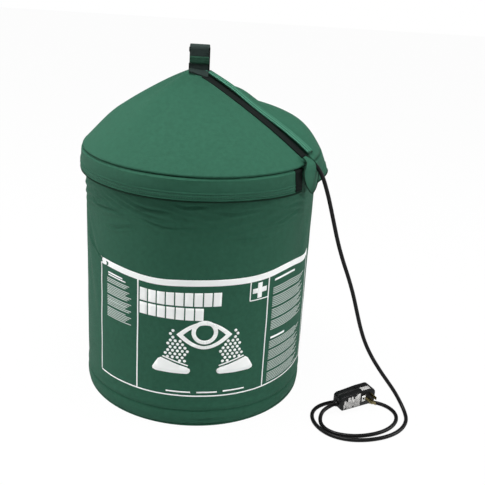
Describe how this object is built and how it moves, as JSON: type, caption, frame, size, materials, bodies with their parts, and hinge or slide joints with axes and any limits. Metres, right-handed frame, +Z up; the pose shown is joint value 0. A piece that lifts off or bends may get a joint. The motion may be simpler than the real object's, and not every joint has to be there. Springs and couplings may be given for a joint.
{
  "type": "portable eyewash tank in a heated jacket",
  "caption": "Portable eyewash tank in a heated, insulated cloth jacket with a lift-off cone lid, a carry loop and a mains lead with a breaker plug.",
  "frame": {"origin": "middle of the jacket's base, on the floor", "axes": "+Z up, -Y the front with the printed panel, +X the viewer's right, where the lead comes out"},
  "size_m": [0.69, 0.4915, 0.704],
  "materials": {
    "jacket_cloth": "matt green coated cloth",
    "webbing": "woven charcoal webbing",
    "hook_tape": "black hook tape",
    "insulation": "white needled fibre",
    "base_board": "matt",
    "heater_pad": "silicone rubber",
    "thermostat_case": "gloss",
    "lead_jacket": "semi-matt black",
    "stainless": "brushed",
    "brass_fitting": "plain",
    "chrome_trim": "polished",
    "green_plastic": "matt",
    "yellow_plastic": "gloss",
    "black_plastic": "matt",
    "white_face": "matt",
    "clear_lens": "clear",
    "red_mark": "gloss",
    "grey_label": "matt",
    "gasket_rubber": "matt",
    "circuit_board": "matt"
  },
  "bodies": {
    "jacket": {"jacket_base": "base_board", "jacket_shell": "jacket_cloth", "wall_insulation": "insulation", "floor_insulation": "insulation", "jacket_liner": "jacket_cloth", "top_binding": "jacket_cloth", "heater_blanket": "heater_pad", "thermostat": "thermostat_case", "heater_lead": "lead_jacket", "cord_gland": "black_plastic", "strain_relief": "black_plastic", "cable_tongue": "jacket_cloth", "tank_shell": "stainless", "foot_ring": "stainless", "tank_handle_right": "stainless", "tank_handle_left": "stainless", "fill_gasket": "gasket_rubber", "air_valve": "brass_fitting", "relief_valve": "brass_fitting", "gauge_case": "chrome_trim", "gauge_movement": "brass_fitting", "gauge_dial": "white_face", "gauge_lens": "clear_lens", "head_fitting": "stainless", "dip_tube": "stainless", "valve_body": "brass_fitting", "eyewash_yoke": "green_plastic", "nozzle_left": "green_plastic", "nozzle_rose_left": "white_face", "nozzle_right": "green_plastic", "nozzle_rose_right": "white_face", "power_cord": "lead_jacket", "plug_housing_front": "black_plastic", "plug_housing_back": "black_plastic", "line_blade": "brass_fitting", "neutral_blade": "brass_fitting", "ground_pin": "brass_fitting", "breaker_board": "circuit_board", "cord_boot": "black_plastic", "plug_screws": "chrome_trim", "plug_plates": "grey_label"},
    "lid": {"lid_cone": "jacket_cloth", "lid_skirt": "jacket_cloth", "skirt_hook_patch": "hook_tape", "slit_hook_strip": "hook_tape", "slit_flap": "jacket_cloth", "carry_loop": "webbing", "loop_fasteners": "hook_tape"},
    "lever": {"valve_ball": "chrome_trim", "valve_stem": "brass_fitting", "valve_lever": "yellow_plastic"},
    "dust_cap_left": {"dust_cap_left": "yellow_plastic"},
    "dust_cap_right": {"dust_cap_right": "yellow_plastic"},
    "fill_cap": {"fill_cap": "yellow_plastic"},
    "air_valve_cap": {"air_valve_cap": "black_plastic"},
    "relief_ring": {"relief_pull_ring": "chrome_trim"},
    "gauge_needle": {"gauge_needle": "red_mark"},
    "test_button": {"test_button": "grey_label"},
    "reset_button": {"reset_button": "black_plastic"}
  },
  "joints": [
    {"name": "lid_lift", "type": "slide", "parent": "jacket", "child": "lid", "axis": [0, 0, 1], "range_m": [0, 0.3]},
    {"name": "lever_turn", "type": "hinge", "parent": "jacket", "child": "lever", "pos_m": [0, 0, 0.529], "axis": [0, -1, 0], "range_deg": [0, 90]},
    {"name": "left_cap_turn", "type": "hinge", "parent": "jacket", "child": "dust_cap_left", "pos_m": [-0.053, 0, 0.5808], "axis": [0, 1, 0], "range_deg": [0, 100]},
    {"name": "right_cap_turn", "type": "hinge", "parent": "jacket", "child": "dust_cap_right", "pos_m": [0.053, 0, 0.5808], "axis": [0, -1, 0], "range_deg": [0, 100]},
    {"name": "fill_cap_turn", "type": "hinge", "parent": "jacket", "child": "fill_cap", "pos_m": [0, 0.11, 0.514], "axis": [0, 0, 1], "continuous": true},
    {"name": "air_cap_turn", "type": "hinge", "parent": "jacket", "child": "air_valve_cap", "pos_m": [-0.07778, 0.07778, 0.525], "axis": [0, 0, 1], "continuous": true},
    {"name": "relief_pull", "type": "slide", "parent": "jacket", "child": "relief_ring", "axis": [0, 0, 1], "range_m": [0, 0.005], "stiffness_N_per_m": 800},
    {"name": "gauge_turn", "type": "hinge", "parent": "jacket", "child": "gauge_needle", "pos_m": [0.09329, -0.05829, 0.528], "axis": [0, 0, -1], "range_deg": [0, 270], "stiffness_Nm_per_rad": 0.00002},
    {"name": "test_press", "type": "slide", "parent": "jacket", "child": "test_button", "axis": [0, 0, -1], "range_m": [0, 0.0012], "stiffness_N_per_m": 900},
    {"name": "reset_press", "type": "slide", "parent": "jacket", "child": "reset_button", "axis": [0, 0, -1], "range_m": [0, 0.0012], "stiffness_N_per_m": 900}
  ]
}
